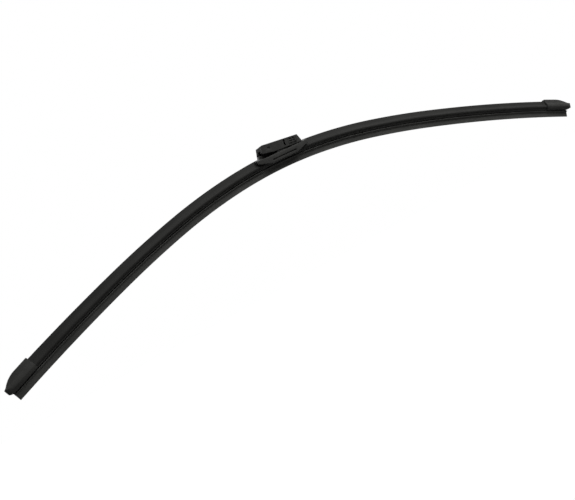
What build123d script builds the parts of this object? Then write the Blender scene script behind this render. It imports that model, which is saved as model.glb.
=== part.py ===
from build123d import *
import os
from math import cos, degrees, radians, sin

# A frameless wiper blade: a bowed rubber on two spring strips, a two-piece spoiler, end caps,
# and a connector on whose rivet the arm's adapter rocks. Millimetres.
# X runs along the blade, Y across it, Z up from the glass. The origin is the middle of the rivet.
# Heights in the section are counted from the middle of the strips.

# Bow: lengths along it from the rivet, and the radii of its arcs from the crown outwards
left_length = 303.0
right_length = 347.0
crown_left = 56.0
crown_right = 34.0
shoulder_length = 65.0
flank_length = 65.0
crown_radius = 450.0
shoulder_radius = 535.0
flank_radius = 980.0
tip_radius = 1830.0
rivet_over_strip = 10.5

# Spring strips
strip_thick = 0.9
strip_inner = 1.3
strip_width = 2.2
strip_fit = 0.1
strip_inset = 1.5

# Rubber
flange_half = 2.3
flange_thick = 1.05
head_half = 2.5
head_deep = 2.15
head_corner = 0.5
neck_half = 0.45
neck_tall = 1.0
wedge_half = 2.1
wedge_edge = 0.6
flare_tall = 1.3
flare_hollow = 0.35
lip_root_half = 0.55
lip_tip_half = 0.4
lip_tall = 4.3

# Spoiler
crest_height = 7.15
crest_half = 0.55
ridge_height = 0.5
ridge_half = 4.5
bead_in = 0.8
bead_up = 1.1
waist_height = 4.4
waist_half = 1.5
foot_half = 3.75
foot_round = 0.3
claw_thick = 0.8
claw_gap = 0.3
flange_fit = 0.15
chamber_half = 1.3
chamber_tall = 2.0
chamber_floor = 1.1

# Saddle, the metal connector
sheet = 1.6
saddle_fit = 0.2
claw_half_length = 14.0
bend_round = 0.6
ear_inner = 2.6
ear_root_half = 4.5
ear_round = 2.5

# Rivet
shank_radius = 1.5
shank_fit = 0.02
journal_radius = 2.1
journal_long = 1.4
journal_gap = 0.05
journal_chamfer = 0.25

# Cover of the connector
cover_half_length = 27.5
cover_half = 7.4
cover_tip_half = 6.0
cover_top = 4.5
cover_bottom = -2.3
cover_edge = 0.8
nose_height = 6.3
nose_crest_half = 1.2
nose_bottom = 1.7
pocket_gap = 0.7
pocket_end_gap = 0.4
ramp_long = 2.5
ramp_end_long = 0.5
cover_fit = 0.15
tongue_fit = 0.25
tongue_height = 2.6
ear_slot_gap = 0.25
groove_low = -0.4
groove_tall = 1.2
groove_deep = 1.0
groove_half_length = 12.7
butt_gap = 0.3
spine_left = 23.6
spine_right = 19.0
spine_slope = 0.45
spine_height = 8.4
spine_gap = 0.25

# Adapter, rocked on the rivet
adapter_tilt = 5.6
adapter_left = 17.6
adapter_tail = 1.9
adapter_right = 22.2
adapter_slant = 2.5
adapter_half = 7.0
adapter_below = 3.6
adapter_tail_below = 3.7
adapter_above = 3.8
belly_place = -7.0
belly_below = 4.75
tail_wall_low = -2.4
tail_slot_gap = 0.3
tail_slot_high = 0.0
adapter_wall = 1.2
adapter_roof = 1.0
adapter_corner = 0.6
adapter_heel = 1.0
bearing_half = 3.5
bearing_fit = 0.06
bearing_gap = 0.15
bearing_mouth = 3.7
rib_thick = 1.0
rib_lift = 1.6
rib_reach = 2.4
rib_places = (-7.0, -11.0)
beam_place = 8.2
beam_low = 1.3
relief_place = 5.0
relief_wide = 1.6
relief_low = -2.6
relief_high = 3.0
dimple_place = -11.6
dimple_height = -0.4
dimple_radius = 1.3
dimple_deep = 0.5

# Squeeze tabs in the adapter's cheeks
tab_left = 9.3
tab_right = 17.4
tab_low = -2.9
tab_high = 2.7
tab_thick = 1.15
tab_gap = 0.25
tab_web = 0.5
tab_web_gap = 0.08
grip_long = 2.7
grip_tall = 0.95
grip_deep = 0.75
grip_pitch_x = 3.6
grip_pitch_z = 1.9

# End caps, the left one a little shorter
cap_left_long = 25.4
cap_left_over = 2.6
cap_left_flat = 13.0
cap_left_arc = 13.2
cap_right_long = 29.0
cap_right_over = 3.8
cap_right_flat = 14.4
cap_right_arc = 15.1
cap_wall = 1.3
cap_fit = 0.15
cap_arc_drop = 4.2
cap_nose_top = 3.5
cap_nose_low = -1.2
cap_bottom = -2.75
cap_tip_half = 4.2
cap_taper_long = 9.0
cap_nose_round = 0.6
spoiler_inset = 8.0
cap_end_gap = 0.3

# Clips that tie the strips inside the caps
clip_sheet = 0.8
clip_long = 5.0
clip_inset = 2.0

os.makedirs("parts", exist_ok=True)

# Levels and widths that several pieces share
seat = strip_thick / 2 + strip_fit
strip_outer = strip_inner + strip_width
channel_half = strip_outer + strip_fit
foot = -(seat + claw_thick)
flange_top = seat + flange_thick
plate_low = flange_top + saddle_fit
plate_top = plate_low + sheet
claw_tip = head_half + claw_gap
saddle_half = channel_half + sheet
ear_outer = ear_inner + sheet
strip_level = -rivet_over_strip
breaks = [
    -(crown_left + shoulder_length + flank_length),
    -(crown_left + shoulder_length),
    -crown_left,
    crown_right,
    crown_right + shoulder_length,
    crown_right + shoulder_length + flank_length,
]


def bow_station(s):
    """Place x, z and downward lean in degrees at s along the bow, to the left where s is negative."""
    side = 1 if s >= 0 else -1
    crown = crown_right if s >= 0 else crown_left
    tip = (tip_radius, abs(s))
    arcs = [(crown_radius, crown), (shoulder_radius, shoulder_length), (flank_radius, flank_length), tip]
    x, z, lean, rest = 0.0, strip_level, 0.0, abs(s)
    for radius, length in arcs:
        turn = min(rest, length) / radius
        x += radius * (sin(lean + turn) - sin(lean))
        z -= radius * (cos(lean) - cos(lean + turn))
        lean += turn
        rest -= min(rest, length)
    return side * x, z, side * degrees(lean)


def bow_path(start, end):
    """Tangent arcs along the bow at the level of the strips."""
    stops = [start] + [b for b in breaks if start < b < end] + [end]
    with BuildLine(Plane.XZ) as path:
        for a, b in zip(stops, stops[1:]):
            ThreePointArc(*[bow_station(s)[:2] for s in (a, (a + b) / 2, b)])
    return path.wire()


def section_plane(s):
    """Plane square to the bow: across the blade and up from the strips."""
    x, z, lean = bow_station(s)
    return Plane((x, 0, z), x_dir=(0, 1, 0), z_dir=(cos(radians(lean)), 0, -sin(radians(lean))))


def end_plane(s):
    """Side-view plane at an end of the blade: outwards along the bow and up."""
    x, z, lean = bow_station(s)
    side = 1 if s > 0 else -1
    outwards = (side * cos(radians(lean)), 0, -side * sin(radians(lean)))
    return Plane((x, 0, z), x_dir=outwards, z_dir=(0, -side, 0))


def across_plane(s):
    """Section plane at an end of the blade, facing outwards."""
    side = end_plane(s)
    return Plane(side.origin, x_dir=-side.z_dir, z_dir=side.x_dir)


def bulge(a, b, depth):
    """Point beside the middle of a chord, to its left by depth."""
    along = Vector(*b) - Vector(*a)
    left = Vector(-along.Y, along.X).normalized()
    return (Vector(*a) + Vector(*b)) / 2 + left * depth


def fin_face(grow):
    """Outline of the spoiler, grown all round for what fits over it."""
    crest = (crest_half + grow, crest_height + grow)
    waist = (waist_half + grow, waist_height + grow)
    bead = (ridge_half - bead_in + grow, ridge_height + bead_up + grow)
    ridge = (ridge_half + grow, ridge_height)
    heel = (foot_half + grow, foot - grow)
    with BuildSketch() as fin:
        with BuildLine():
            Line((0, crest[1]), crest)
            blade = Line(crest, waist)
            TangentArc(waist, bead, tangent=blade % 1)
            Line(bead, ridge)
            ThreePointArc(ridge, bulge(ridge, heel, foot_round), heel)
            Line(heel, (0, heel[1]))
            mirror(about=Plane.YZ)
        make_face()
    return fin.sketch


def clasp_face(thick):
    """Folded section that runs over the rubber and grips under the strips."""
    with BuildSketch() as clasp:
        with BuildLine():
            Polyline(
                (0, plate_low),
                (channel_half, plate_low),
                (channel_half, -seat),
                (claw_tip, -seat),
                (claw_tip, -seat - thick),
                (channel_half + thick, -seat - thick),
                (channel_half + thick, plate_low + thick),
                (0, plate_low + thick),
            )
            mirror(about=Plane.YZ)
        make_face()
        corners = clasp.vertices().filter_by(lambda v: abs(v.X) > channel_half + thick / 2)
        fillet(corners, radius=bend_round)
    return clasp.sketch


# Rubber: flange over the strips, web between them, head, neck, wedge and wiping lip
head_low = -seat - head_deep
wedge_top = head_low - neck_tall
flare_top = wedge_top - wedge_edge
lip_root = flare_top - flare_tall
lip_tip = lip_root - lip_tall
with BuildPart() as rubber:
    with BuildSketch(section_plane(-left_length)):
        with BuildLine():
            Polyline(
                (0, flange_top),
                (flange_half, flange_top),
                (flange_half, seat),
                (strip_inner - strip_fit, seat),
                (strip_inner - strip_fit, -seat),
                (head_half, -seat),
                (head_half, head_low + head_corner),
                (head_half - head_corner, head_low),
                (neck_half, head_low),
                (neck_half, wedge_top),
                (wedge_half, wedge_top),
                (wedge_half, flare_top),
            )
            flare = [(wedge_half, flare_top), (lip_root_half, lip_root)]
            ThreePointArc(flare[0], bulge(*flare, -flare_hollow), flare[1])
            Polyline((lip_root_half, lip_root), (lip_tip_half, lip_tip), (0, lip_tip))
            mirror(about=Plane.YZ)
        make_face()
    sweep(path=bow_path(-left_length, right_length))

# Spring strips, one each side of the web
strip_start = -left_length + strip_inset
strip_end = right_length - strip_inset
strip_middle = strip_inner + strip_width / 2
with BuildPart() as strip_near:
    with BuildSketch(section_plane(strip_start)):
        with Locations((-strip_middle, 0)):
            Rectangle(strip_width, strip_thick)
    sweep(path=bow_path(strip_start, strip_end))
with BuildPart() as strip_far:
    with BuildSketch(section_plane(strip_start)):
        with Locations((strip_middle, 0)):
            Rectangle(strip_width, strip_thick)
    sweep(path=bow_path(strip_start, strip_end))

# Spoiler section: fin with a hollow chamber, channel for flange and strips, claws under the strips
spoiler_fin = fin_face(0)
chamber_low = flange_top + flange_fit + chamber_floor
with BuildSketch() as spoiler_section:
    add(spoiler_fin)
    with BuildLine():
        Polyline(
            (0, flange_top + flange_fit),
            (flange_half + flange_fit, flange_top + flange_fit),
            (flange_half + flange_fit, seat),
            (channel_half, seat),
            (channel_half, -seat),
            (claw_tip, -seat),
            (claw_tip, foot - claw_thick),
            (0, foot - claw_thick),
        )
        mirror(about=Plane.YZ)
    make_face(mode=Mode.SUBTRACT)
    with BuildLine():
        Polyline((-chamber_half, chamber_low), (chamber_half, chamber_low), (0, chamber_low + chamber_tall), close=True)
    make_face(mode=Mode.SUBTRACT)

# Each spoiler's foot runs on under the cover, where the fin is cut away
fin_end = cover_half_length + butt_gap
tongue_end = claw_half_length + butt_gap
tongue_level = strip_level + tongue_height
with BuildPart() as spoiler_left:
    with BuildSketch(section_plane(-left_length + spoiler_inset)):
        add(spoiler_section.sketch)
    sweep(path=bow_path(-left_length + spoiler_inset, -tongue_end))
    with BuildSketch(Plane.XZ):
        with Locations((0, tongue_level)):
            Rectangle(fin_end, crest_height, align=(Align.MAX, Align.MIN))
    extrude(amount=cover_half, both=True, mode=Mode.SUBTRACT)
with BuildPart() as spoiler_right:
    with BuildSketch(section_plane(tongue_end)):
        add(spoiler_section.sketch)
    sweep(path=bow_path(tongue_end, right_length - spoiler_inset))
    with BuildSketch(Plane.XZ):
        with Locations((0, tongue_level)):
            Rectangle(fin_end, crest_height, align=(Align.MIN, Align.MIN))
    extrude(amount=cover_half, both=True, mode=Mode.SUBTRACT)

# Saddle: clasp over the rubber, with two ears for the rivet
ear_low = strip_level + plate_low + sheet / 2
with BuildPart() as saddle:
    with BuildSketch(section_plane(-claw_half_length)):
        add(clasp_face(sheet))
    sweep(path=bow_path(-claw_half_length, claw_half_length))
    for inner_face in (ear_inner, -ear_outer):
        with BuildSketch(Plane.XZ.offset(inner_face)):
            with BuildLine():
                Polyline((-ear_root_half, ear_low), (ear_root_half, ear_low), (ear_round, 0), (-ear_round, 0), close=True)
            make_face()
            Circle(ear_round)
            Circle(shank_radius + shank_fit, mode=Mode.SUBTRACT)
        extrude(amount=sheet)

# Rivet: shank through the ears and a journal at each end
journal_start = ear_outer + journal_gap
journal_end = journal_start + journal_long
with BuildPart() as rivet:
    with BuildSketch(Plane.XY):
        with BuildLine():
            Polyline(
                (0, 0),
                (shank_radius, 0),
                (shank_radius, journal_start),
                (journal_radius, journal_start),
                (journal_radius, journal_end - journal_chamfer),
                (journal_radius - journal_chamfer, journal_end),
                (0, journal_end),
                close=True,
            )
        make_face()
    revolve(axis=Axis.Y)
    mirror(about=Plane.XZ)

# Cover of the connector: side view, section and plan meet in one moulding, hollow below
pocket_left = adapter_left + adapter_tail + pocket_gap
pocket_right = adapter_right + pocket_end_gap
strip_side = Plane((0, 0, strip_level), x_dir=(1, 0, 0), z_dir=(0, -1, 0))
strip_across = Plane((0, 0, strip_level), x_dir=(0, 1, 0), z_dir=(1, 0, 0))
with BuildPart() as cover:
    with BuildSketch(strip_side):
        with BuildLine():
            Polyline(
                (-claw_half_length, cover_bottom),
                (claw_half_length, cover_bottom),
                (cover_half_length, nose_bottom),
                (cover_half_length, nose_height),
                (pocket_right + ramp_end_long, nose_height),
                (pocket_right, cover_top),
                (-pocket_left, cover_top),
                (-pocket_left - ramp_long, nose_height),
                (-cover_half_length, nose_height),
                (-cover_half_length, nose_bottom),
                close=True,
            )
        make_face()
    extrude(amount=cover_half, both=True)
    with BuildSketch(strip_across):
        with BuildLine():
            Polyline(
                (0, cover_bottom),
                (cover_half, cover_bottom),
                (cover_half, cover_top - cover_edge),
                (cover_half - cover_edge, cover_top),
                (nose_crest_half, nose_height),
                (0, nose_height),
            )
            mirror(about=Plane.YZ)
        make_face()
    extrude(amount=cover_half_length, both=True, mode=Mode.INTERSECT)
    with BuildSketch(Plane.XY):
        with BuildLine():
            Polyline(
                (0, cover_half),
                (claw_half_length, cover_half),
                (cover_half_length, cover_tip_half),
                (cover_half_length, 0),
            )
            mirror(about=Plane.YZ)
            mirror(about=Plane.XZ)
        make_face()
    extrude(amount=2 * rivet_over_strip, both=True, mode=Mode.INTERSECT)
    # room for the saddle, and for the spoilers' feet at both ends
    with BuildSketch(strip_across):
        with Locations((0, plate_top + cover_fit)):
            Rectangle(2 * (saddle_half + cover_fit), 2 * rivet_over_strip, align=(Align.CENTER, Align.MAX))
    extrude(amount=claw_half_length + cover_fit, both=True, mode=Mode.SUBTRACT)
    with BuildSketch(strip_across):
        with Locations((0, tongue_height + tongue_fit)):
            Rectangle(2 * (ridge_half + tongue_fit), 2 * rivet_over_strip, align=(Align.CENTER, Align.MAX))
    extrude(amount=2 * cover_half_length, both=True, mode=Mode.SUBTRACT)
    # slots for the ears
    with BuildSketch(Plane.XY.offset(strip_level)):
        with Locations((0, (ear_inner + ear_outer) / 2), (0, -(ear_inner + ear_outer) / 2)):
            Rectangle(2 * (ear_root_half + ear_slot_gap), sheet + 2 * ear_slot_gap)
    extrude(amount=rivet_over_strip, mode=Mode.SUBTRACT)
    # spine between the ears, up into the adapter and under the rivet
    spine_lean = spine_slope * (spine_height - cover_top)
    with BuildSketch(strip_side):
        with BuildLine():
            Polyline(
                (-spine_left, cover_top - cover_edge),
                (spine_right, cover_top - cover_edge),
                (spine_right, cover_top),
                (spine_right - spine_lean, spine_height),
                (-spine_left + spine_lean, spine_height),
                (-spine_left, cover_top),
                close=True,
            )
        make_face()
    extrude(amount=ear_inner - spine_gap, both=True)
    # shadow groove along both sides
    for outer_face in (cover_half - groove_deep, -cover_half):
        with BuildSketch(strip_side.offset(outer_face)):
            with Locations((0, groove_low)):
                Rectangle(2 * groove_half_length, groove_tall, align=(Align.CENTER, Align.MIN))
        extrude(amount=groove_deep, mode=Mode.SUBTRACT)

# Adapter: a moulded box, open below, rocked on the rivet
tilt = radians(adapter_tilt)
cheek = Plane((0, 0, 0), x_dir=(cos(tilt), 0, -sin(tilt)), z_dir=(0, -1, 0))
adapter_inner = adapter_half - adapter_wall
bearing_start = ear_outer + bearing_gap
slope = adapter_slant / (adapter_above + adapter_below - adapter_heel)
slant_wall = adapter_wall * (1 + slope**2) ** 0.5
tail_slope = adapter_tail / (adapter_above + adapter_tail_below)
tail_wall = adapter_wall * (1 + tail_slope**2) ** 0.5
ceiling = adapter_above - adapter_roof
with BuildPart() as adapter:
    with BuildSketch(cheek):
        with BuildLine():
            Polyline(
                (-adapter_left - adapter_tail, -adapter_tail_below),
                (belly_place, -belly_below),
                (adapter_right - adapter_heel, -adapter_below),
                (adapter_right, -adapter_below + adapter_heel),
                (adapter_right - adapter_slant, adapter_above),
                (-adapter_left, adapter_above),
                close=True,
            )
        make_face()
    extrude(amount=adapter_half, both=True)
    fillet(adapter.edges().filter_by(lambda e: e.center().Z > 0 or abs(e.center().Y) < 0.1), radius=adapter_corner)
    with BuildSketch(cheek):
        with BuildLine():
            Polyline(
                (-adapter_left - adapter_tail + tail_wall, -adapter_tail_below),
                (-adapter_left - adapter_tail + tail_wall, -belly_below),
                (adapter_right - adapter_heel - slant_wall, -belly_below),
                (adapter_right - adapter_heel - slant_wall, -adapter_below),
                (adapter_right - slant_wall, -adapter_below + adapter_heel),
                (adapter_right - slant_wall - slope * (ceiling + adapter_below - adapter_heel), ceiling),
                (-adapter_left - tail_slope * (adapter_above - ceiling) + tail_wall, ceiling),
                close=True,
            )
        make_face()
    extrude(amount=adapter_inner, both=True, mode=Mode.SUBTRACT)
    # the left end wall stops above the cheeks' lower edges and is slotted for the cover's spine
    tail_long = 2 * tail_wall + adapter_tail
    spine_half = ear_inner - spine_gap
    for level, half in ((tail_wall_low, adapter_inner), (tail_slot_high, spine_half + tail_slot_gap)):
        with BuildSketch(cheek):
            with Locations((-adapter_left, level)):
                Rectangle(tail_long, level + belly_below, align=(Align.CENTER, Align.MAX))
        extrude(amount=half, both=True, mode=Mode.SUBTRACT)
    # cross beam and cross ribs under the roof
    with BuildSketch(cheek):
        with Locations((beam_place, ceiling)):
            Rectangle(rib_thick, ceiling - beam_low, align=(Align.CENTER, Align.MAX))
    extrude(amount=adapter_inner, both=True)
    with BuildSketch(cheek):
        with Locations(*[(place, ceiling) for place in rib_places]):
            rib_tall = ceiling + adapter_below - rib_lift
            Rectangle(rib_thick, rib_tall, align=(Align.CENTER, Align.MAX))
    extrude(amount=adapter_inner, both=True)
    with BuildSketch(cheek):
        with Locations(*[(place, ceiling) for place in rib_places]):
            Rectangle(rib_thick, ceiling + adapter_below, align=(Align.CENTER, Align.MAX))
    extrude(amount=adapter_inner - rib_reach, both=True, mode=Mode.SUBTRACT)
    # bearings that snap over the rivet's journals from above
    for start in (bearing_start, -adapter_inner):
        with BuildSketch(cheek.offset(start)):
            with Locations((0, -adapter_below)):
                Rectangle(2 * bearing_half, ceiling + adapter_below, align=(Align.CENTER, Align.MIN))
            Circle(journal_radius + bearing_fit, mode=Mode.SUBTRACT)
            Rectangle(bearing_mouth, 2 * adapter_below, align=(Align.CENTER, Align.MAX), mode=Mode.SUBTRACT)
        extrude(amount=adapter_inner - bearing_start)
    # windows for the tabs, relief slots beside the bearings and round dimples, in both cheeks
    for start in (adapter_inner, -adapter_half):
        with BuildSketch(cheek.offset(start)):
            with Locations(((tab_left + tab_right) / 2, (tab_low + tab_high) / 2)):
                Rectangle(tab_right - tab_left + 2 * tab_gap, tab_high - tab_low + 2 * tab_gap)
            with Locations((relief_place, relief_low)):
                Rectangle(relief_wide, relief_high - relief_low, align=(Align.CENTER, Align.MIN))
        extrude(amount=adapter_wall, mode=Mode.SUBTRACT)
    for start in (adapter_half - dimple_deep, -adapter_half):
        with BuildSketch(cheek.offset(start)):
            with Locations((dimple_place, dimple_height)):
                Circle(dimple_radius)
        extrude(amount=dimple_deep, mode=Mode.SUBTRACT)

# Squeeze tabs: a ribbed pad on a thin web at its right end
tab_size = (tab_right - tab_left, tab_high - tab_low)
tab_middle = ((tab_left + tab_right) / 2, (tab_low + tab_high) / 2)
web_long = tab_gap - tab_web_gap
with BuildPart() as tab_near:
    with BuildSketch(cheek.offset(adapter_half - tab_thick)):
        with Locations(tab_middle):
            Rectangle(*tab_size)
    extrude(amount=tab_thick)
    with BuildSketch(cheek.offset(adapter_half - grip_deep)):
        with Locations(tab_middle):
            with GridLocations(grip_pitch_x, grip_pitch_z, 2, 3):
                Rectangle(grip_long, grip_tall)
    extrude(amount=grip_deep, mode=Mode.SUBTRACT)
    with BuildSketch(cheek.offset(adapter_half - tab_thick)):
        with Locations((tab_right, tab_middle[1])):
            Rectangle(web_long, tab_size[1], align=(Align.MIN, Align.CENTER))
    extrude(amount=tab_web)
with BuildPart() as tab_far:
    add(mirror(tab_near.part, about=Plane.XZ, mode=Mode.PRIVATE))

# End caps: side view, section and plan meet in one moulding; pockets for spoiler, strips and clip
clip_half = channel_half + clip_sheet
clip_top = plate_low + clip_sheet
cap_section = fin_face(cap_fit + cap_wall)
pocket_section = fin_face(cap_fit)
cap_top = crest_height + cap_fit + cap_wall
cap_widest = ridge_half + cap_fit + cap_wall + foot_round
clip_low = -seat - clip_sheet
caps = []
left_cap = (-left_length, cap_left_long, cap_left_over, cap_left_flat, cap_left_arc)
right_cap = (right_length, cap_right_long, cap_right_over, cap_right_flat, cap_right_arc)
for end, cap_long, cap_over, cap_flat, cap_arc in (left_cap, right_cap):
    side = end_plane(end)
    across = across_plane(end)
    plan = Plane(side.origin, x_dir=side.x_dir, z_dir=side.y_dir)
    with BuildPart() as cap:
        with BuildSketch(across.offset(-cap_long)):
            add(cap_section)
        extrude(amount=cap_long + cap_over)
        with BuildSketch(side):
            with BuildLine():
                Polyline(
                    (-cap_flat, cap_top),
                    (-cap_long, cap_top),
                    (-cap_long, cap_bottom),
                    (0, cap_bottom),
                    (cap_over, cap_nose_low),
                    (cap_over, cap_nose_top),
                    (cap_arc - cap_flat, cap_top - cap_arc_drop),
                )
                TangentArc((-cap_flat, cap_top), (cap_arc - cap_flat, cap_top - cap_arc_drop), tangent=(1, 0))
            make_face()
        extrude(amount=cap_widest, both=True, mode=Mode.INTERSECT)
        with BuildSketch(plan):
            with BuildLine():
                Polyline((-cap_long, 0), (-cap_long, cap_widest), (cap_over - cap_taper_long, cap_widest))
                TangentArc((cap_over - cap_taper_long, cap_widest), (cap_over, cap_tip_half), tangent=(1, 0))
                Line((cap_over, cap_tip_half), (cap_over, 0))
                mirror(about=Plane.XZ)
            make_face()
        extrude(amount=2 * cap_top, both=True, mode=Mode.INTERSECT)
        fillet(cap.faces().sort_by(Axis(side.origin, side.x_dir))[-1].edges(), radius=cap_nose_round)
        # pockets for the spoiler, for strips and clip, and the slot for the rubber
        inner = end * (1 - (cap_long + cap_wall) / abs(end))
        outer = end * (1 - (spoiler_inset - cap_end_gap) / abs(end))
        with BuildSketch(section_plane(min(inner, outer))):
            add(pocket_section)
        sweep(path=bow_path(min(inner, outer), max(inner, outer)), mode=Mode.SUBTRACT)
        with BuildSketch(across.offset(-spoiler_inset)):
            with Locations((0, clip_top + cap_fit)):
                pocket_tall = clip_top - clip_low + 2 * cap_fit
                Rectangle(2 * (clip_half + cap_fit), pocket_tall, align=(Align.CENTER, Align.MAX))
        extrude(amount=spoiler_inset + cap_end_gap, mode=Mode.SUBTRACT)
        with BuildSketch(across.offset(-cap_long)):
            Rectangle(2 * claw_tip, cap_top, align=(Align.CENTER, Align.MAX))
        extrude(amount=cap_long + cap_end_gap, mode=Mode.SUBTRACT)
    caps.append(cap)

# Clips: a small folded clasp round both strips, inside each cap
clips = []
for end in (-left_length, right_length):
    with BuildPart() as clip:
        with BuildSketch(across_plane(end).offset(-clip_inset - clip_long)):
            add(clasp_face(clip_sheet))
        extrude(amount=clip_long)
    clips.append(clip)

pieces = {
    "wiper_rubber": rubber,
    "spring_strip_near": strip_near,
    "spring_strip_far": strip_far,
    "spoiler_left": spoiler_left,
    "spoiler_right": spoiler_right,
    "saddle": saddle,
    "saddle_cover": cover,
    "pivot_rivet": rivet,
    "adapter": adapter,
    "squeeze_tab_near": tab_near,
    "squeeze_tab_far": tab_far,
    "end_cap_left": caps[0],
    "end_cap_right": caps[1],
    "strip_clip_left": clips[0],
    "strip_clip_right": clips[1],
}
for name, piece in pieces.items():
    piece.part.label = name
    export_step(piece.part, f"parts/{name}.step")
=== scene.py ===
"""Looks of a frameless wiper blade: extrusions, mouldings, metal parts, finishes and a studio stage.

X runs along the blade, Y across it and Z up from the glass, in metres. The origin is the middle of
the rivet. Heights in a section are counted from the middle of the spring strips.
"""

import math
from functools import partial

import bmesh
import bpy
from mathutils import Matrix, Vector


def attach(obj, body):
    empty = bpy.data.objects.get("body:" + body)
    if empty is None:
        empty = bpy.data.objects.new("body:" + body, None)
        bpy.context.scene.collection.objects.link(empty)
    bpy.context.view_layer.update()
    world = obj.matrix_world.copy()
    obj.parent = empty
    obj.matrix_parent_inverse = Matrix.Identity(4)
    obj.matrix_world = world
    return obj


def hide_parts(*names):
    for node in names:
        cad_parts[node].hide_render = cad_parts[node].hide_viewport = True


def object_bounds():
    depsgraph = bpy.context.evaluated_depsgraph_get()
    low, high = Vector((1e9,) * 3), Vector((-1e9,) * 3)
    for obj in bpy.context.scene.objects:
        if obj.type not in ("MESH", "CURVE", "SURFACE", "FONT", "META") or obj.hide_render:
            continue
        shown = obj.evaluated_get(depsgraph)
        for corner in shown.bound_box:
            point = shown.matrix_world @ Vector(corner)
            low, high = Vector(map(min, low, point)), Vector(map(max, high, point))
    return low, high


bl_info = {
    "name": "Frameless wiper blade",
    "version": (1, 0, 0),
    "blender": (4, 5, 0),
    "location": "View3D > Sidebar > Wiper",
    "description": "Dresses a frameless wiper blade with its extrusions, mouldings and finishes",
    "category": "Object",
}

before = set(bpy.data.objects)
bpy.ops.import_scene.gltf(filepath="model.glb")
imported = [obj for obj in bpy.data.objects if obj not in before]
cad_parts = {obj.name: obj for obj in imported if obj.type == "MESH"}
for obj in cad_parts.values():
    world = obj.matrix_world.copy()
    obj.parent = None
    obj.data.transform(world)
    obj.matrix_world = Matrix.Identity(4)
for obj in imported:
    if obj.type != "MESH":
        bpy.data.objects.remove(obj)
CAD_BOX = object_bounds()
IMAGE_WIDTH = 575
STREAK_MAP = "length_and_girth"
MM = 0.001

# Meshes: weld distance, angles in radians that count as flat, as an edge to round and as smooth, steps of
# curves, the most of a side that a corner's curve takes, half the width of the cut over the spoilers' feet
WELD = 1e-7
FLAT_ANGLE = math.radians(0.5)
EDGE_ANGLE = 0.5
SMOOTH_ANGLE = math.radians(32)
CORNER_STEPS = 4
CURVE_STEPS = 6
FLARE_STEPS = 8
CORNER_SHARE = 0.45
CUT_HALF = 20 * MM

# Textures: changes per metre, given for each of three axes where they differ
DIE_LINES = (4, 2600, 1)
BLOOM = (30, 160, 1)
ROLLING_LINES = (12, 4000, 4000)
TURNING_RINGS = (200, 5000, 200)
EVEN = (1, 1, 1)
GRAIN = 3800
FLOW = 140
PEEL = 900
BLUED_PATCHES = 60
FLOOR_MOTTLE = 2

# Sockets of a colour mix
MIX_FACTOR, MIX_DARK, MIX_LIGHT, MIX_RESULT = 0, 6, 7, 2

# Lamps: place, point that each one faces and side of its square, in metres
KEY_LAMP = ((0.45, -0.6, 0.7), (0.03, 0, -0.04), 0.5)
TOP_LAMP = ((-0.1, -0.2, 0.55), (-0.1, 0, -0.03), 0.3)
BACK_LAMP = ((0.2, 1.0, 0.8), (0, 0, -0.05), 0.8)


def length(name, description, default_mm):
    """A size in metres, given in millimetres."""
    return bpy.props.FloatProperty(
        name=name, description=description, default=default_mm * MM, unit="LENGTH", precision=5
    )


def colour(name, description, default):
    """A linear surface colour."""
    return bpy.props.FloatVectorProperty(
        name=name, description=description, default=default, size=3, min=0, max=1, subtype="COLOR"
    )


def share(name, description, default):
    """A value from 0 to 1."""
    return bpy.props.FloatProperty(
        name=name, description=description, default=default, min=0, max=1, subtype="FACTOR"
    )


def angle(name, description, default_degrees):
    """An angle, given in degrees."""
    return bpy.props.FloatProperty(
        name=name, description=description, default=math.radians(default_degrees), subtype="ANGLE"
    )


def watts(name, description, default):
    """A lamp's power."""
    return bpy.props.FloatProperty(
        name=name, description=description, default=default, min=0, subtype="POWER"
    )


class BowSizes(bpy.types.PropertyGroup):
    """The bow that the free blade takes, as tangent arcs from the crown outwards."""

    left_length: length("Left length", "Length along the bow to the left of the rivet", 303)
    right_length: length("Right length", "Length along the bow to the right of the rivet", 347)
    crown_left: length("Crown, left", "Length of the crown's arc to the left", 56)
    crown_right: length("Crown, right", "Length of the crown's arc to the right", 34)
    shoulder_length: length("Shoulder", "Length of each shoulder's arc", 65)
    flank_length: length("Flank", "Length of each flank's arc", 65)
    crown_radius: length("Crown radius", "Radius of the bow at the crown", 450)
    shoulder_radius: length("Shoulder radius", "Radius of the bow at the shoulders", 535)
    flank_radius: length("Flank radius", "Radius of the bow at the flanks", 980)
    tip_radius: length("Tip radius", "Radius of the bow towards the tips", 1830)
    rivet_over_strip: length("Rivet height", "Height of the rivet over the strips", 10.5)
    ring_pitch: length("Ring pitch", "Distance between the rings of an extrusion's mesh", 4)


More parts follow.
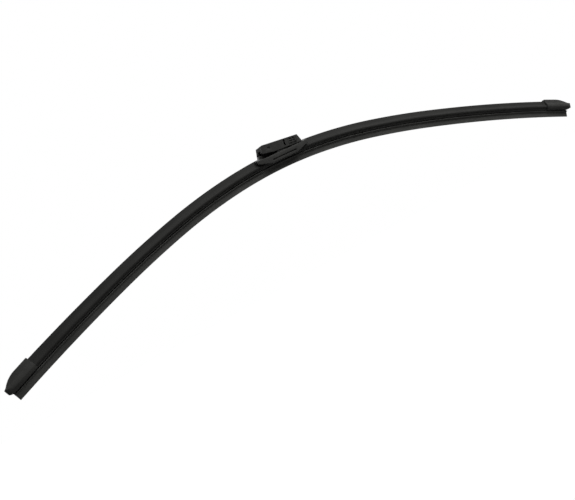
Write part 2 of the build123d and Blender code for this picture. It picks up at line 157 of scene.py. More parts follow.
class SpoilerSizes(bpy.types.PropertyGroup):
    """Section of the spoiler's extrusion."""

    crest_height: length("Crest height", "Height of the fin's crest", 7.15)
    crest_half: length("Crest half width", "Half the crest's thickness", 0.55)
    crest_round: length("Crest radius", "Radius of the crest's corners", 0.4)
    waist_height: length("Waist height", "Height where the fin starts to flare", 4.4)
    waist_half: length("Waist half width", "Half the fin's thickness at the waist", 1.5)
    bead_height: length("Bead height", "Height of the bead over the ridge", 1.6)
    bead_half: length("Bead half width", "Half width at the bead", 3.7)
    bead_round: length("Bead radius", "Radius of the bead", 0.35)
    ridge_height: length("Ridge height", "Height of the widest line", 0.5)
    ridge_half: length("Ridge half width", "Half width at the widest line", 4.5)
    ridge_round: length("Ridge radius", "Radius of the widest line", 0.3)
    foot_half: length("Foot half width", "Half width of the foot", 3.75)
    foot_height: length("Foot height", "Height of the foot's underside", -1.35)
    foot_bulge: length("Foot bulge", "How far the foot's side bulges", 0.3)
    heel_round: length("Heel radius", "Radius of the foot's lower edge", 0.3)
    floor_height: length("Channel top", "Height of the channel over the rubber's flange", 1.75)
    flange_half: length("Flange room", "Half width of the channel over the flange", 2.45)
    seat: length("Strip room", "Half the height of the slots for the strips", 0.55)
    channel_half: length("Channel half width", "Half width across both strip slots", 3.6)
    claw_half: length("Mouth half width", "Half width between the claws", 2.8)
    claw_low_round: length("Claw radius, below", "Radius of the claws' lower edges", 0.25)
    claw_top_round: length("Claw radius, above", "Radius of the claws' upper edges", 0.15)
    chamber_half: length("Chamber half width", "Half width of the hollow chamber", 1.3)
    chamber_round: length("Chamber radius", "Radius of the chamber's lower corners", 0.3)
    chamber_low: length("Chamber floor", "Height of the chamber's floor", 2.85)
    chamber_high: length("Chamber top", "Height of the chamber's top", 4.85)
    cap_inset: length("Cap inset", "How far the extrusion stops short of the rubber's end", 8)
    fin_start: length("Fin start", "Distance of the fin's end from the rivet", 27.8)
    tongue_start: length("Tongue start", "Distance of the foot's end from the rivet", 14.3)
    tongue_height: length("Tongue height", "Height of the foot under the connector's cover", 2.6)


class RubberSizes(bpy.types.PropertyGroup):
    """Section of the wiping rubber."""

    flange_half: length("Flange half width", "Half width of the flange over the strips", 2.3)
    flange_top: length("Flange top", "Height of the flange's top", 1.6)
    flange_round: length("Flange radius, above", "Radius of the flange's upper edges", 0.25)
    flange_low_round: length("Flange radius, below", "Radius of the flange's lower edges", 0.15)
    seat: length("Strip room", "Half the height between flange and head", 0.55)
    web_half: length("Web half width", "Half width of the web between the strips", 1.2)
    head_half: length("Head half width", "Half width of the head", 2.5)
    head_low: length("Head underside", "Height of the head's underside", -2.7)
    head_round: length("Head radius", "Radius of the head's lower edges", 0.7)
    groove_round: length("Groove radius", "Radius of the head's top and of the edges about the neck", 0.2)
    neck_half: length("Neck half width", "Half width of the tilting neck", 0.45)
    wedge_half: length("Wedge half width", "Half width of the wedge's shoulders", 2.1)
    wedge_top: length("Wedge top", "Height of the wedge's top", -3.7)
    flare_top: length("Flare top", "Height where the wedge starts to narrow", -4.3)
    flare_hollow: length("Flare hollow", "Depth of the wedge's hollow side", 0.35)
    lip_root: length("Lip root", "Height of the lip's root", -5.6)
    lip_root_half: length("Lip root half width", "Half the lip's thickness at its root", 0.55)
    lip_tip: length("Lip edge", "Height of the wiping edge", -9.9)
    lip_tip_half: length("Lip edge half width", "Half the thickness of the wiping edge", 0.4)
    lip_tip_round: length("Lip edge radius", "Radius of the wiping edge's corners", 0.03)


class EdgeSizes(bpy.types.PropertyGroup):
    """Radii on the edges of the mouldings and of the folded sheet."""

    cover: length("Cover", "Edge radius of the connector's cover", 0.3)
    adapter: length("Adapter", "Edge radius of the adapter", 0.16)
    tab: length("Tabs", "Edge radius of the squeeze tabs", 0.1)
    cap: length("Caps", "Edge radius of the end caps", 0.22)
    sheet: length("Saddle", "Edge radius of the saddle's sheet", 0.15)


class CapSizes(bpy.types.PropertyGroup):
    """Slanted lower sides of the end caps, where they turn under towards the glass."""

    slant_top: length("Slant top", "Height where a cap's side starts to turn under", 0.2)
    slant_top_half: length("Slant top half width", "Half width of a cap where its side turns under", 5.96)
    slant_low: length("Slant underside", "Height of a cap's underside", -2.75)
    slant_low_half: length("Slant underside half width", "Half width of a cap's underside", 4.3)


class FinishColours(bpy.types.PropertyGroup):
    """Colours and gloss of the finishes."""

    spoiler: colour("Spoiler", "Black of the extruded spoiler", (0.0225, 0.0225, 0.0214))
    lip: colour("Rubber", "Black of the coated wiping rubber", (0.067, 0.067, 0.064))
    moulding: colour("Mouldings", "Black of the moulded parts", (0.0365, 0.0365, 0.0347))
    saddle: colour("Saddle", "Black of the painted saddle", (0.02, 0.02, 0.02))
    spring: colour("Spring steel", "Grey of the strips and clips", (0.24, 0.24, 0.25))
    rivet: colour("Rivet", "Grey of the rivet", (0.56, 0.56, 0.57))
    spoiler_roughness: share("Spoiler roughness", "Roughness of the spoiler", 0.68)
    lip_roughness: share("Rubber roughness", "Roughness of the rubber", 0.7)
    moulding_roughness: share("Moulding roughness", "Roughness of the moulded parts", 0.6)
    spoiler_lines: length("Spoiler lines", "Depth of the die lines on the spoiler", 0.05)
    lip_lines: length("Rubber lines", "Depth of the die lines on the rubber", 0.04)
    grain: length("Moulding grain", "Depth of the grain on the moulded parts", 0.06)
    sheen: share("Reflection", "Strength of the clear reflection on rubber and plastic", 0.055)


class StageSizes(bpy.types.PropertyGroup):
    """Camera, floor and lamps."""

    azimuth: angle("Azimuth", "Camera's turn about the upright axis", -25.13)
    elevation: angle("Elevation", "Camera's height over the horizon", 2.0)
    roll: angle("Roll", "Camera's turn about its own axis", -27.036)
    distance: length("Distance", "Camera's distance from the point that it looks at", 693.13)
    aim_x: length("Aim X", "Point that the camera looks at, along the blade", -37.132)
    aim_z: length("Aim Z", "Point that the camera looks at, upright", -86.853)
    focal_pixels: bpy.props.FloatProperty(
        name="Focal length", description="Focal length in image pixels", default=787.22, min=1
    )
    floor_drop: length("Floor drop", "Distance of the floor below the blade", 260)
    floor_size: length("Floor size", "Side of the square floor", 6000)
    floor_colour: colour("Floor", "Pale grey of the floor", (0.2, 0.2, 0.1985))
    floor_glow: share("Floor glow", "Lift of the floor towards white under the blade", 0.8)
    fade_start: length("Fade start", "Distance from the rivet where the floor starts to fade to white", 450)
    fade_end: length("Fade end", "Distance from the rivet where the floor is white", 1300)
    key_power: watts("Key lamp", "Power of the large lamp above and to the right", 10)
    top_power: watts("Top lamp", "Power of the small lamp above", 1.35)
    back_power: watts("Back lamp", "Power of the lamp behind", 11)
    ambient: share("Ambient", "Strength of the even light from all round", 0.03)


class WiperBlade(bpy.types.PropertyGroup):
    """All sizes and finishes of the blade."""

    bow: bpy.props.PointerProperty(type=BowSizes, name="Bow", description="Bow of the blade")
    spoiler: bpy.props.PointerProperty(type=SpoilerSizes, name="Spoiler", description="Spoiler's section")
    rubber: bpy.props.PointerProperty(type=RubberSizes, name="Rubber", description="Rubber's section")
    edges: bpy.props.PointerProperty(type=EdgeSizes, name="Edges", description="Edge radii")
    caps: bpy.props.PointerProperty(type=CapSizes, name="Caps", description="Slanted sides of the caps")
    finish: bpy.props.PointerProperty(type=FinishColours, name="Finish", description="Colours and gloss")
    stage: bpy.props.PointerProperty(type=StageSizes, name="Stage", description="Camera, floor and lamps")


# Bow and extrusions


def bow_station(bow, s):
    """Place on the bow at s along it and the lean of the section there, to the left where s is negative."""
    side = 1 if s >= 0 else -1
    crown = bow.crown_right if s >= 0 else bow.crown_left
    arcs = [
        (bow.crown_radius, crown),
        (bow.shoulder_radius, bow.shoulder_length),
        (bow.flank_radius, bow.flank_length),
        (bow.tip_radius, abs(s)),
    ]
    x, z, lean, rest = 0.0, -bow.rivet_over_strip, 0.0, abs(s)
    for radius, arc in arcs:
        turn = min(rest, arc) / radius
        x += radius * (math.sin(lean + turn) - math.sin(lean))
        z -= radius * (math.cos(lean) - math.cos(lean + turn))
        lean += turn
        rest -= min(rest, arc)
    return Vector((side * x, 0, z)), side * lean


def ring_on_bow(bow, s, outline):
    """Outline of a section, set square to the bow at s."""
    middle, lean = bow_station(bow, s)
    up = Vector((math.sin(lean), 0, math.cos(lean)))
    return [middle + Vector((0, across, 0)) + up * height for across, height in outline]


def mirrored(half):
    """Closed outline from its half at positive across, which starts and ends on the middle line."""
    return half + [(-across, height) for across, height in reversed(half[1:-1])]


def rounded(corners, steps=CORNER_STEPS):
    """Open outline whose corners, given as across, height and radius, become short curves."""
    outline = []
    for i, (across, height, radius) in enumerate(corners):
        here = Vector((across, height))
        if radius == 0 or i in (0, len(corners) - 1):
            outline.append((across, height))
            continue
        before = Vector(corners[i - 1][:2]) - here
        after = Vector(corners[i + 1][:2]) - here
        reach = radius / math.tan(before.angle(after) / 2)
        reach = min(reach, CORNER_SHARE * before.length, CORNER_SHARE * after.length)
        start = here + before.normalized() * reach
        end = here + after.normalized() * reach
        for k in range(steps + 1):
            t = k / steps
            outline.append(tuple(start * (1 - t) ** 2 + here * 2 * t * (1 - t) + end * t**2))
    return outline


def tangent_arc(start, end, direction, steps):
    """Points of an arc that leaves start in a direction and reaches end, without its two ends."""
    chord = Vector(end) - Vector(start)
    leave = math.atan2(direction[1], direction[0])
    turn = math.atan2(chord.y, chord.x) - leave
    points = []
    for k in range(1, steps):
        part = turn * k / steps
        reach = chord.length * math.sin(part) / math.sin(turn)
        points.append((start[0] + reach * math.cos(leave + part), start[1] + reach * math.sin(leave + part)))
    return points


def bulged(start, end, depth, steps):
    """Points of a shallow curve between two points, to the left of the chord by depth, without its ends."""
    chord = Vector(end) - Vector(start)
    left = Vector((-chord.y, chord.x)).normalized()
    parts = [k / steps for k in range(1, steps)]
    return [tuple(Vector(start) + chord * t + left * 4 * depth * t * (1 - t)) for t in parts]


def bow_stops(bow, start, end):
    """Even stops along the bow from start to end."""
    count = math.ceil((end - start) / bow.ring_pitch)
    return [start + (end - start) * k / count for k in range(count + 1)]


def extrude_on_bow(bow, name, outlines, start, end):
    """Mesh of a section, with its hollows, swept along the bow and closed at both ends."""
    mesh_maker = bmesh.new()
    streaks = mesh_maker.loops.layers.uv.new(STREAK_MAP)
    stops = bow_stops(bow, start, end)
    closing = ([], [])
    for outline in outlines:
        girth = [0.0]
        for here, there in zip(outline, outline[1:] + outline[:1]):
            girth.append(girth[-1] + (Vector(there) - Vector(here)).length)
        rings = [[mesh_maker.verts.new(p) for p in ring_on_bow(bow, s, outline)] for s in stops]
        for k, (near, far) in enumerate(zip(rings, rings[1:])):
            for i in range(len(outline)):
                j = (i + 1) % len(outline)
                face = mesh_maker.faces.new((near[i], near[j], far[j], far[i]))
                places = [(stops[k], girth[i]), (stops[k], girth[i + 1])]
                places += [(stops[k + 1], girth[i + 1]), (stops[k + 1], girth[i])]
                for loop, place in zip(face.loops, places):
                    loop[streaks].uv = place
        for ring, edges in zip((rings[0], rings[-1]), closing):
            edges += [mesh_maker.edges.get((a, b)) for a, b in zip(ring, ring[1:] + ring[:1])]
    for edges in closing:
        bmesh.ops.triangle_fill(mesh_maker, use_beauty=True, edges=edges)
    bmesh.ops.recalc_face_normals(mesh_maker, faces=mesh_maker.faces)
    return as_piece(mesh_maker, name)


def as_piece(mesh_maker, name):
    """Object from a finished mesh, shaded smooth except over sharp edges."""
    mesh = bpy.data.meshes.new(name)
    mesh_maker.to_mesh(mesh)
    mesh_maker.free()
    mesh.shade_smooth()
    mesh.set_sharp_from_angle(angle=SMOOTH_ANGLE)
    piece = bpy.data.objects.new(name, mesh)
    bpy.context.scene.collection.objects.link(piece)
    return piece


def cut_box(piece, low, high):
    """Cuts a box out of a piece."""
    mesh_maker = bmesh.new()
    bmesh.ops.create_cube(mesh_maker, size=1)
    for vertex in mesh_maker.verts:
        vertex.co = Vector([a + (b - a) * (c + 0.5) for a, b, c in zip(low, high, vertex.co)])
    cutter = as_piece(mesh_maker, "cutter")
    cut = piece.modifiers.new("cut", "BOOLEAN")
    cut.object = cutter
    cut.operation = "DIFFERENCE"
    cut.solver = "EXACT"
    shaped = piece.evaluated_get(bpy.context.evaluated_depsgraph_get())
    mesh = bpy.data.meshes.new_from_object(shaped)
    piece.modifiers.clear()
    piece.data = mesh
    mesh.name = piece.name
    bpy.data.objects.remove(cutter)


def room_beside(edge):
    """How far the faces at an edge reach from it, on the narrower side."""
    return min(face.calc_area() for face in edge.link_faces) / edge.calc_length()


def turn_under(mesh_maker, bow, end, caps):
    """Slants both lower sides of a cap, so that they turn under towards the glass."""
    middle, lean = bow_station(bow, end)
    up = Vector((math.sin(lean), 0, math.cos(lean)))
    for across in (Vector((0, -1, 0)), Vector((0, 1, 0))):
        top = middle + across * caps.slant_top_half + up * caps.slant_top
        tall, deep = caps.slant_top - caps.slant_low, caps.slant_top_half - caps.slant_low_half
        cut = bmesh.ops.bisect_plane(
            mesh_maker,
            geom=mesh_maker.verts[:] + mesh_maker.edges[:] + mesh_maker.faces[:],
            plane_co=top,
            plane_no=across * tall - up * deep,
            clear_outer=True,
        )
        rim = [e for e in cut["geom_cut"] if isinstance(e, bmesh.types.BMEdge)]
        bmesh.ops.edgeloop_fill(mesh_maker, edges=rim)


def rounded_copy(node, name, radius, steps=3, reshape=None):
    """Copy of a node, reshaped where asked, with its outward edges rounded where they have the room."""
    mesh_maker = bmesh.new()
    mesh_maker.from_mesh(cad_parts[node].data)
    for layer in list(mesh_maker.loops.layers.uv):
        mesh_maker.loops.layers.uv.remove(layer)
    bmesh.ops.remove_doubles(mesh_maker, verts=mesh_maker.verts, dist=WELD)
    bmesh.ops.dissolve_limit(
        mesh_maker, angle_limit=FLAT_ANGLE, verts=mesh_maker.verts, edges=mesh_maker.edges
    )
    if reshape:
        reshape(mesh_maker)
    outward = [e for e in mesh_maker.edges if e.is_manifold and e.is_convex]
    sharp = [e for e in outward if e.calc_face_angle() > EDGE_ANGLE and room_beside(e) > radius]
    bmesh.ops.bevel(
        mesh_maker,
        geom=sharp,
        offset=radius,
        offset_type="OFFSET",
        segments=steps,
        profile=0.5,
        affect="EDGES",
        clamp_overlap=False,
    )
    bmesh.ops.triangulate(mesh_maker, faces=[f for f in mesh_maker.faces if len(f.verts) > 4])
    bmesh.ops.recalc_face_normals(mesh_maker, faces=mesh_maker.faces)
    return as_piece(mesh_maker, name)


# Finishes


def new_finish(name, base, roughness, reflection=0.5):
    """Material with a shader whose even values are set on its own sockets."""
    material = bpy.data.materials.new(name)
    material.use_nodes = True
    tree = material.node_tree
    shader = tree.nodes["Principled BSDF"]
    shader.inputs["Base Color"].default_value = (*base, 1)
    shader.inputs["Roughness"].default_value = roughness
    shader.inputs["Specular IOR Level"].default_value = reflection
    return material, tree, shader


def add_node(tree, kind, **values):
    """Node of a kind, with values set on its sockets by name."""
    node = tree.nodes.new(kind)
    for socket, value in values.items():
        node.inputs[socket.replace("_", " ")].default_value = value
    return node


def place_on_part(tree, stretch):
    """Position on the part, stretched along each axis."""
    where = add_node(tree, "ShaderNodeTexCoord")
    mapping = add_node(tree, "ShaderNodeMapping", Scale=stretch)
    tree.links.new(where.outputs["Object"], mapping.inputs["Vector"])
    return mapping.outputs["Vector"]


def place_on_extrusion(tree, stretch):
    """Position along an extrusion and round its section, stretched along both."""
    where = add_node(tree, "ShaderNodeUVMap")
    where.uv_map = STREAK_MAP
    mapping = add_node(tree, "ShaderNodeMapping", Scale=stretch)
    tree.links.new(where.outputs["UV"], mapping.inputs["Vector"])
    return mapping.outputs["Vector"]


def speckle(tree, place, scale=1, detail=2):
    """Noise value from 0 to 1 at a place."""
    noise = add_node(tree, "ShaderNodeTexNoise", Scale=scale, Detail=detail, Roughness=0.55)
    tree.links.new(place, noise.inputs["Vector"])
    return noise.outputs["Fac"]


def spread(tree, value, low, high, start=0.25, end=0.75):
    """Value between start and end, spread out to lie between low and high."""
    ranged = add_node(
        tree,
        "ShaderNodeMapRange",
        From_Min=start,
        From_Max=end,
        To_Min=low,
        To_Max=high,
    )
    tree.links.new(value, ranged.inputs["Value"])
    return ranged.outputs["Result"]


def tint(tree, shader, value, base, dark, light):
    """Base colour that varies between a darker and a lighter shade."""
    mix = add_node(tree, "ShaderNodeMix")
    mix.data_type = "RGBA"
    mix.inputs[MIX_DARK].default_value = (*[c * dark for c in base], 1)
    mix.inputs[MIX_LIGHT].default_value = (*[c * light for c in base], 1)
    tree.links.new(value, mix.inputs[MIX_FACTOR])
    tree.links.new(mix.outputs[MIX_RESULT], shader.inputs["Base Color"])


def relief(tree, shader, value, depth, strength):
    """Fine relief of the surface."""
    bump = add_node(tree, "ShaderNodeBump", Strength=strength, Distance=depth)
    tree.links.new(value, bump.inputs["Height"])
    tree.links.new(bump.outputs["Normal"], shader.inputs["Normal"])


def worn_edges(tree, value, amount):
    """Adds a light rub on outward edges to a value."""
    shape = add_node(tree, "ShaderNodeNewGeometry")
    rub = spread(tree, shape.outputs["Pointiness"], 0, amount, start=0.52, end=0.62)
    add = add_node(tree, "ShaderNodeMath")
    add.operation = "ADD"
    tree.links.new(value, add.inputs[0])
    tree.links.new(rub, add.inputs[1])
    return add.outputs["Value"]


def extruded_black(name, base, roughness, reflection, line_depth):
    """Extruded rubber: lines from the die along its length, a faint bloom and uneven gloss."""
    material, tree, shader = new_finish(name, base, roughness, reflection)
    lines = speckle(tree, place_on_extrusion(tree, DIE_LINES), detail=3)
    bloom = speckle(tree, place_on_extrusion(tree, BLOOM), detail=4)
    tint(tree, shader, spread(tree, bloom, 0, 1), base, dark=0.75, light=1.35)
    gloss = spread(tree, bloom, low=roughness - 0.07, high=roughness + 0.08)
    tree.links.new(gloss, shader.inputs["Roughness"])
    relief(tree, shader, lines, line_depth, strength=0.6)
    return material


def moulded_black(name, finish):
    """Moulded plastic: fine eroded grain, slow changes of gloss and rubbed edges."""
    base, roughness = finish.moulding, finish.moulding_roughness
    material, tree, shader = new_finish(name, base, roughness, finish.sheen)
    grain = speckle(tree, place_on_part(tree, EVEN), GRAIN)
    flow = speckle(tree, place_on_part(tree, EVEN), FLOW, detail=3)
    rubbed = worn_edges(tree, spread(tree, flow, 0, 0.6), amount=0.5)
    tint(tree, shader, rubbed, base, dark=0.8, light=1.5)
    gloss = spread(tree, flow, low=roughness - 0.06, high=roughness + 0.07)
    tree.links.new(gloss, shader.inputs["Roughness"])
    relief(tree, shader, grain, finish.grain, strength=0.6)
    return material


def painted_black(name, base):
    """Dip-painted sheet: a slight orange peel and thin paint on its edges."""
    material, tree, shader = new_finish(name, base, roughness=0.42)
    peel = speckle(tree, place_on_part(tree, EVEN), PEEL)
    rubbed = worn_edges(tree, spread(tree, peel, 0, 0.5), amount=0.8)
    tint(tree, shader, rubbed, base, dark=0.8, light=2.2)
    tree.links.new(spread(tree, peel, low=0.36, high=0.5), shader.inputs["Roughness"])
    relief(tree, shader, peel, 0.05 * MM, strength=0.25)
    return material


def rolled_steel(name, base):
    """Cold-rolled spring steel: rolling lines along the strip and blued patches."""
    material, tree, shader = new_finish(name, base, roughness=0.36)
    shader.inputs["Metallic"].default_value = 1
    lines = speckle(tree, place_on_part(tree, ROLLING_LINES), detail=3)
    patches = speckle(tree, place_on_part(tree, EVEN), BLUED_PATCHES, detail=3)
    tint(tree, shader, spread(tree, patches, 0, 1), base, dark=0.7, light=1.3)
    tree.links.new(spread(tree, lines, low=0.28, high=0.46), shader.inputs["Roughness"])
    relief(tree, shader, lines, 0.02 * MM, strength=0.3)
    return material


def turned_steel(name, base):
    """Turned rivet steel: rings about its axis."""
    material, tree, shader = new_finish(name, base, roughness=0.3)
    shader.inputs["Metallic"].default_value = 1
    rings = speckle(tree, place_on_part(tree, TURNING_RINGS))
    tint(tree, shader, spread(tree, rings, 0, 1), base, dark=0.85, light=1.1)
    tree.links.new(spread(tree, rings, low=0.22, high=0.38), shader.inputs["Roughness"])
    relief(tree, shader, rings, 0.02 * MM, strength=0.25)
    return material


def dress(piece, body, slot, material, *nodes):
    """Gives a piece its finish, its body and the nodes that it stands for."""
    piece.data.materials.clear()
    piece.data.materials.append(material)
    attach(piece, body)
    if nodes:
        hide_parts(*nodes)


def finish_node(node, material):
    """Gives a node that stays as it is its finish."""
    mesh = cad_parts[node].data
    mesh.materials.clear()
    mesh.materials.append(material)


# Operators


class WIPER_OT_spoilers(bpy.types.Operator):
    """Build both halves of the spoiler, with their feet that run under the connector's cover"""

    bl_idname = "wiper.spoilers"
    bl_label = "Spoilers"

    def section(self, sizes):
        """Outer outline and hollow chamber of the spoiler."""
        crest = (sizes.crest_half, sizes.crest_height)
        waist = (sizes.waist_half, sizes.waist_height)
        bead = (sizes.bead_half, sizes.bead_height)
        ridge = (sizes.ridge_half, sizes.ridge_height)
        heel = (sizes.foot_half, sizes.foot_height)
        blade = Vector(waist) - Vector(crest)
        flare = [(*p, 0) for p in tangent_arc(waist, bead, blade, FLARE_STEPS)]
        side = [(*p, 0) for p in bulged(ridge, heel, sizes.foot_bulge, CURVE_STEPS)]
        half = [
            (0, sizes.crest_height, 0),
            (*crest, sizes.crest_round),
            (*waist, 0),
            *flare,
            (*bead, sizes.bead_round),
            (*ridge, sizes.ridge_round),
            *side,
            (*heel, sizes.heel_round),
            (sizes.claw_half, sizes.foot_height, sizes.claw_low_round),
            (sizes.claw_half, -sizes.seat, sizes.claw_top_round),
            (sizes.channel_half, -sizes.seat, 0),
            (sizes.channel_half, sizes.seat, 0),
            (sizes.flange_half, sizes.seat, 0),
            (sizes.flange_half, sizes.floor_height, 0),
            (0, sizes.floor_height, 0),
        ]
        chamber = [
            (0, sizes.chamber_low, 0),
            (sizes.chamber_half, sizes.chamber_low, sizes.chamber_round),
            (0, sizes.chamber_high, 0),
        ]
        return [mirrored(rounded(half)), mirrored(rounded(chamber))]

    def execute(self, context):
        blade = context.scene.wiper_blade
        sizes = blade.spoiler
        finish = blade.finish
        look = (finish.spoiler, finish.spoiler_roughness, finish.sheen, finish.spoiler_lines)
        black = extruded_black("spoiler_black", *look)
        ends = {
            "left": (-blade.bow.left_length + sizes.cap_inset, -sizes.tongue_start),
            "right": (sizes.tongue_start, blade.bow.right_length - sizes.cap_inset),
        }
        over = -blade.bow.rivet_over_strip + sizes.tongue_height
        for side, (start, end) in ends.items():
            name = f"spoiler_{side}_extrusion"
            piece = extrude_on_bow(blade.bow, name, self.section(sizes), start, end)
            cut = sorted((0, sizes.fin_start if side == "right" else -sizes.fin_start))
            cut_box(piece, (cut[0], -CUT_HALF, over), (cut[1], CUT_HALF, over + sizes.crest_height))
            dress(piece, "blade", "spoiler_black", black, f"spoiler_{side}")
        return {"FINISHED"}


class WIPER_OT_rubber(bpy.types.Operator):
    """Build the wiping rubber with its flange, head, neck, wedge and lip"""

    bl_idname = "wiper.rubber"
    bl_label = "Wiping rubber"

    def section(self, sizes):
        """Outline of the rubber."""
        flare = [(sizes.wedge_half, sizes.flare_top), (sizes.lip_root_half, sizes.lip_root)]
        half = [
            (0, sizes.flange_top, 0),
            (sizes.flange_half, sizes.flange_top, sizes.flange_round),
            (sizes.flange_half, sizes.seat, sizes.flange_low_round),
            (sizes.web_half, sizes.seat, 0),
            (sizes.web_half, -sizes.seat, 0),
            (sizes.head_half, -sizes.seat, sizes.groove_round),
            (sizes.head_half, sizes.head_low, sizes.head_round),
            (sizes.neck_half, sizes.head_low, sizes.groove_round),
            (sizes.neck_half, sizes.wedge_top, sizes.groove_round),
            (sizes.wedge_half, sizes.wedge_top, sizes.groove_round),
            (*flare[0], sizes.groove_round),
            *[(*p, 0) for p in bulged(*flare, -sizes.flare_hollow, CURVE_STEPS)],
            (*flare[1], 0),
            (sizes.lip_tip_half, sizes.lip_tip, sizes.lip_tip_round),
            (0, sizes.lip_tip, 0),
        ]
        return [mirrored(rounded(half))]

    def execute(self, context):
        blade = context.scene.wiper_blade
        bow = blade.bow
        finish = blade.finish
        look = (finish.lip, finish.lip_roughness, finish.sheen, finish.lip_lines)
        black = extruded_black("wiping_rubber", *look)
        outline = self.section(blade.rubber)
        piece = extrude_on_bow(bow, "wiping_rubber_extrusion", outline, -bow.left_length, bow.right_length)
        dress(piece, "blade", "wiping_rubber", black, "wiper_rubber")
        return {"FINISHED"}


class WIPER_OT_springs(bpy.types.Operator):
    """Finish the two spring strips and the clips that tie them"""

    bl_idname = "wiper.springs"
    bl_label = "Springs and clips"

    def execute(self, context):
        steel = rolled_steel("spring_steel", context.scene.wiper_blade.finish.spring)
        for node in ("spring_strip_near", "spring_strip_far", "strip_clip_left", "strip_clip_right"):
            finish_node(node, steel)
        return {"FINISHED"}


class WIPER_OT_saddle(bpy.types.Operator):
    """Build the saddle from folded sheet and finish its rivet"""

    bl_idname = "wiper.saddle"
    bl_label = "Saddle and rivet"

    def execute(self, context):
        blade = context.scene.wiper_blade
        paint = painted_black("saddle_black", blade.finish.saddle)
        piece = rounded_copy("saddle", "saddle_sheet", blade.edges.sheet, 2)
        dress(piece, "blade", "saddle_black", paint, "saddle")
        finish_node("pivot_rivet", turned_steel("rivet_steel", blade.finish.rivet))
        return {"FINISHED"}


class WIPER_OT_cover(bpy.types.Operator):
    """Build the connector's cover"""

    bl_idname = "wiper.cover"
    bl_label = "Connector cover"

    def execute(self, context):
        blade = context.scene.wiper_blade
        plastic = moulded_black("cover_black", blade.finish)
        piece = rounded_copy("saddle_cover", "connector_cover", blade.edges.cover)
        dress(piece, "blade", "moulded_black", plastic, "saddle_cover")
        return {"FINISHED"}


class WIPER_OT_adapter(bpy.types.Operator):
    """Build the arm's adapter that rocks on the rivet"""

    bl_idname = "wiper.adapter"
    bl_label = "Adapter"

    def execute(self, context):
        blade = context.scene.wiper_blade
        plastic = moulded_black("adapter_black", blade.finish)
        piece = rounded_copy("adapter", "arm_adapter", blade.edges.adapter)
        dress(piece, "adapter", "moulded_black", plastic, "adapter")
        return {"FINISHED"}


class WIPER_OT_tabs(bpy.types.Operator):
    """Build the two ribbed squeeze tabs in the adapter's cheeks"""

    bl_idname = "wiper.tabs"
    bl_label = "Squeeze tabs"

    def execute(self, context):
        blade = context.scene.wiper_blade
        plastic = moulded_black("tab_black", blade.finish)
        for side in ("near", "far"):
            piece = rounded_copy(f"squeeze_tab_{side}", f"squeeze_tab_{side}_pad", blade.edges.tab, 2)
            dress(piece, f"tab_{side}", "moulded_black", plastic, f"squeeze_tab_{side}")
        return {"FINISHED"}


class WIPER_OT_caps(bpy.types.Operator):
    """Build the two end caps"""

    bl_idname = "wiper.caps"
    bl_label = "End caps"

    def execute(self, context):
        blade = context.scene.wiper_blade
        plastic = moulded_black("cap_black", blade.finish)
        for side, end in (("left", -blade.bow.left_length), ("right", blade.bow.right_length)):
            slant = partial(turn_under, bow=blade.bow, end=end, caps=blade.caps)
            name = f"end_cap_{side}_moulding"
            piece = rounded_copy(f"end_cap_{side}", name, blade.edges.cap, reshape=slant)
            dress(piece, "blade", "moulded_black", plastic, f"end_cap_{side}")
        return {"FINISHED"}


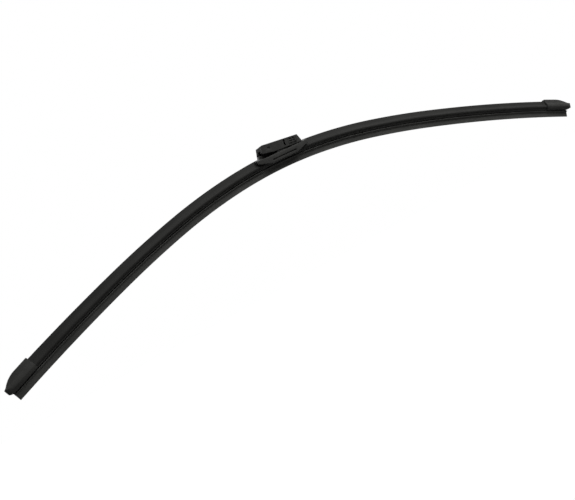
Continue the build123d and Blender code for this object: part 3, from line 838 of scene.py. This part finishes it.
class WIPER_OT_stage(bpy.types.Operator):
    """Set up the floor, the soft light and the camera"""

    bl_idname = "wiper.stage"
    bl_label = "Stage"

    def camera(self, scene, stage):
        """Camera at the azimuth, elevation and roll of the stage."""
        a, e, r = stage.azimuth, stage.elevation, stage.roll
        back = Vector((math.sin(a) * math.cos(e), -math.cos(a) * math.cos(e), math.sin(e)))
        right = Vector((math.cos(a), math.sin(a), 0))
        up = back.cross(right)
        right, up = right * math.cos(r) + up * math.sin(r), up * math.cos(r) - right * math.sin(r)
        aim = Vector((stage.aim_x, 0, stage.aim_z))
        camera = bpy.data.objects.new("camera", bpy.data.cameras.new("camera"))
        turn = Matrix((right, up, back)).transposed()
        camera.matrix_world = Matrix.Translation(aim + back * stage.distance) @ turn.to_4x4()
        camera.data.sensor_fit = "HORIZONTAL"
        camera.data.lens = stage.focal_pixels * camera.data.sensor_width / IMAGE_WIDTH
        camera.data.clip_start = 0.01
        scene.collection.objects.link(camera)
        scene.camera = camera

    def lamp(self, scene, name, place, target, size, power):
        """Soft square lamp that faces a target."""
        lamp = bpy.data.objects.new(name, bpy.data.lights.new(name, "AREA"))
        lamp.data.size = size
        lamp.data.energy = power
        lamp.location = place
        lamp.rotation_euler = (Vector(target) - Vector(place)).to_track_quat("-Z", "Y").to_euler()
        scene.collection.objects.link(lamp)

    def seen_directly(self, tree):
        """1 for rays that show the background itself: from the camera, off gloss or through glass."""
        path = add_node(tree, "ShaderNodeLightPath")
        seen = path.outputs["Is Camera Ray"]
        for ray in ("Is Glossy Ray", "Is Transmission Ray"):
            either = add_node(tree, "ShaderNodeMath")
            either.operation = "MAXIMUM"
            tree.links.new(seen, either.inputs[0])
            tree.links.new(path.outputs[ray], either.inputs[1])
            seen = either.outputs["Value"]
        return seen

    def white_world(self, scene, stage):
        """White all round where it is seen, and an even light elsewhere."""
        world = bpy.data.worlds.new("studio")
        world.use_nodes = True
        tree = world.node_tree
        background = tree.nodes["Background"]
        background.inputs["Color"].default_value = (1, 1, 1, 1)
        strength = spread(tree, self.seen_directly(tree), stage.ambient, 1, start=0, end=1)
        tree.links.new(strength, background.inputs["Strength"])
        scene.world = world

    def floor(self, scene, stage):
        """Pale floor well below the blade, which its mount holds."""
        level = CAD_BOX[0].z - stage.floor_drop
        half = stage.floor_size / 2
        mesh_maker = bmesh.new()
        bmesh.ops.create_grid(mesh_maker, x_segments=8, y_segments=8, size=half)
        for vertex in mesh_maker.verts:
            vertex.co.z = level
        floor = as_piece(mesh_maker, "floor")
        material, tree, shader = new_finish("pale_floor", stage.floor_colour, roughness=0.9)
        place = place_on_part(tree, EVEN)
        mottle = spread(tree, speckle(tree, place, FLOOR_MOTTLE), 0, 1)
        tint(tree, shader, mottle, stage.floor_colour, dark=0.99, light=1)
        distance = add_node(tree, "ShaderNodeVectorMath")
        distance.operation = "LENGTH"
        tree.links.new(place, distance.inputs[0])
        fade = spread(tree, distance.outputs["Value"], stage.floor_glow, 1, stage.fade_start, stage.fade_end)
        glow = add_node(tree, "ShaderNodeMath")
        glow.operation = "MULTIPLY"
        tree.links.new(fade, glow.inputs[0])
        tree.links.new(self.seen_directly(tree), glow.inputs[1])
        shader.inputs["Emission Color"].default_value = (1, 1, 1, 1)
        tree.links.new(glow.outputs["Value"], shader.inputs["Emission Strength"])
        floor.data.materials.append(material)

    def execute(self, context):
        scene = context.scene
        stage = scene.wiper_blade.stage
        scene.view_settings.view_transform = "Standard"
        self.camera(scene, stage)
        self.white_world(scene, stage)
        self.floor(scene, stage)
        self.lamp(scene, "key_lamp", *KEY_LAMP, stage.key_power)
        self.lamp(scene, "top_lamp", *TOP_LAMP, stage.top_power)
        self.lamp(scene, "back_lamp", *BACK_LAMP, stage.back_power)
        return {"FINISHED"}


OPERATORS = (
    WIPER_OT_stage,
    WIPER_OT_rubber,
    WIPER_OT_springs,
    WIPER_OT_spoilers,
    WIPER_OT_saddle,
    WIPER_OT_cover,
    WIPER_OT_adapter,
    WIPER_OT_tabs,
    WIPER_OT_caps,
)


class WIPER_PT_blade(bpy.types.Panel):
    """Sizes, finishes and steps of the wiper blade"""

    bl_idname = "WIPER_PT_blade"
    bl_label = "Wiper blade"
    bl_space_type = "VIEW_3D"
    bl_region_type = "UI"
    bl_category = "Wiper"

    def draw(self, context):
        layout = self.layout
        for operator in OPERATORS:
            layout.operator(operator.bl_idname)
        blade = context.scene.wiper_blade
        shapes = (blade.bow, blade.spoiler, blade.rubber, blade.edges, blade.caps)
        for group in (*shapes, blade.finish, blade.stage):
            box = layout.box()
            box.label(text=group.bl_rna.name)
            for name in group.__annotations__:
                box.prop(group, name)


CLASSES = (
    BowSizes,
    SpoilerSizes,
    RubberSizes,
    EdgeSizes,
    CapSizes,
    FinishColours,
    StageSizes,
    WiperBlade,
    *OPERATORS,
    WIPER_PT_blade,
)


def register():
    for cls in CLASSES:
        bpy.utils.register_class(cls)
    bpy.types.Scene.wiper_blade = bpy.props.PointerProperty(type=WiperBlade)


def unregister():
    del bpy.types.Scene.wiper_blade
    for cls in reversed(CLASSES):
        bpy.utils.unregister_class(cls)


def main():
    register()
    bpy.ops.wiper.stage()
    bpy.ops.wiper.rubber()
    bpy.ops.wiper.springs()
    bpy.ops.wiper.spoilers()
    bpy.ops.wiper.saddle()
    bpy.ops.wiper.cover()
    bpy.ops.wiper.adapter()
    bpy.ops.wiper.tabs()
    bpy.ops.wiper.caps()


if __name__ == "__main__":
    main()
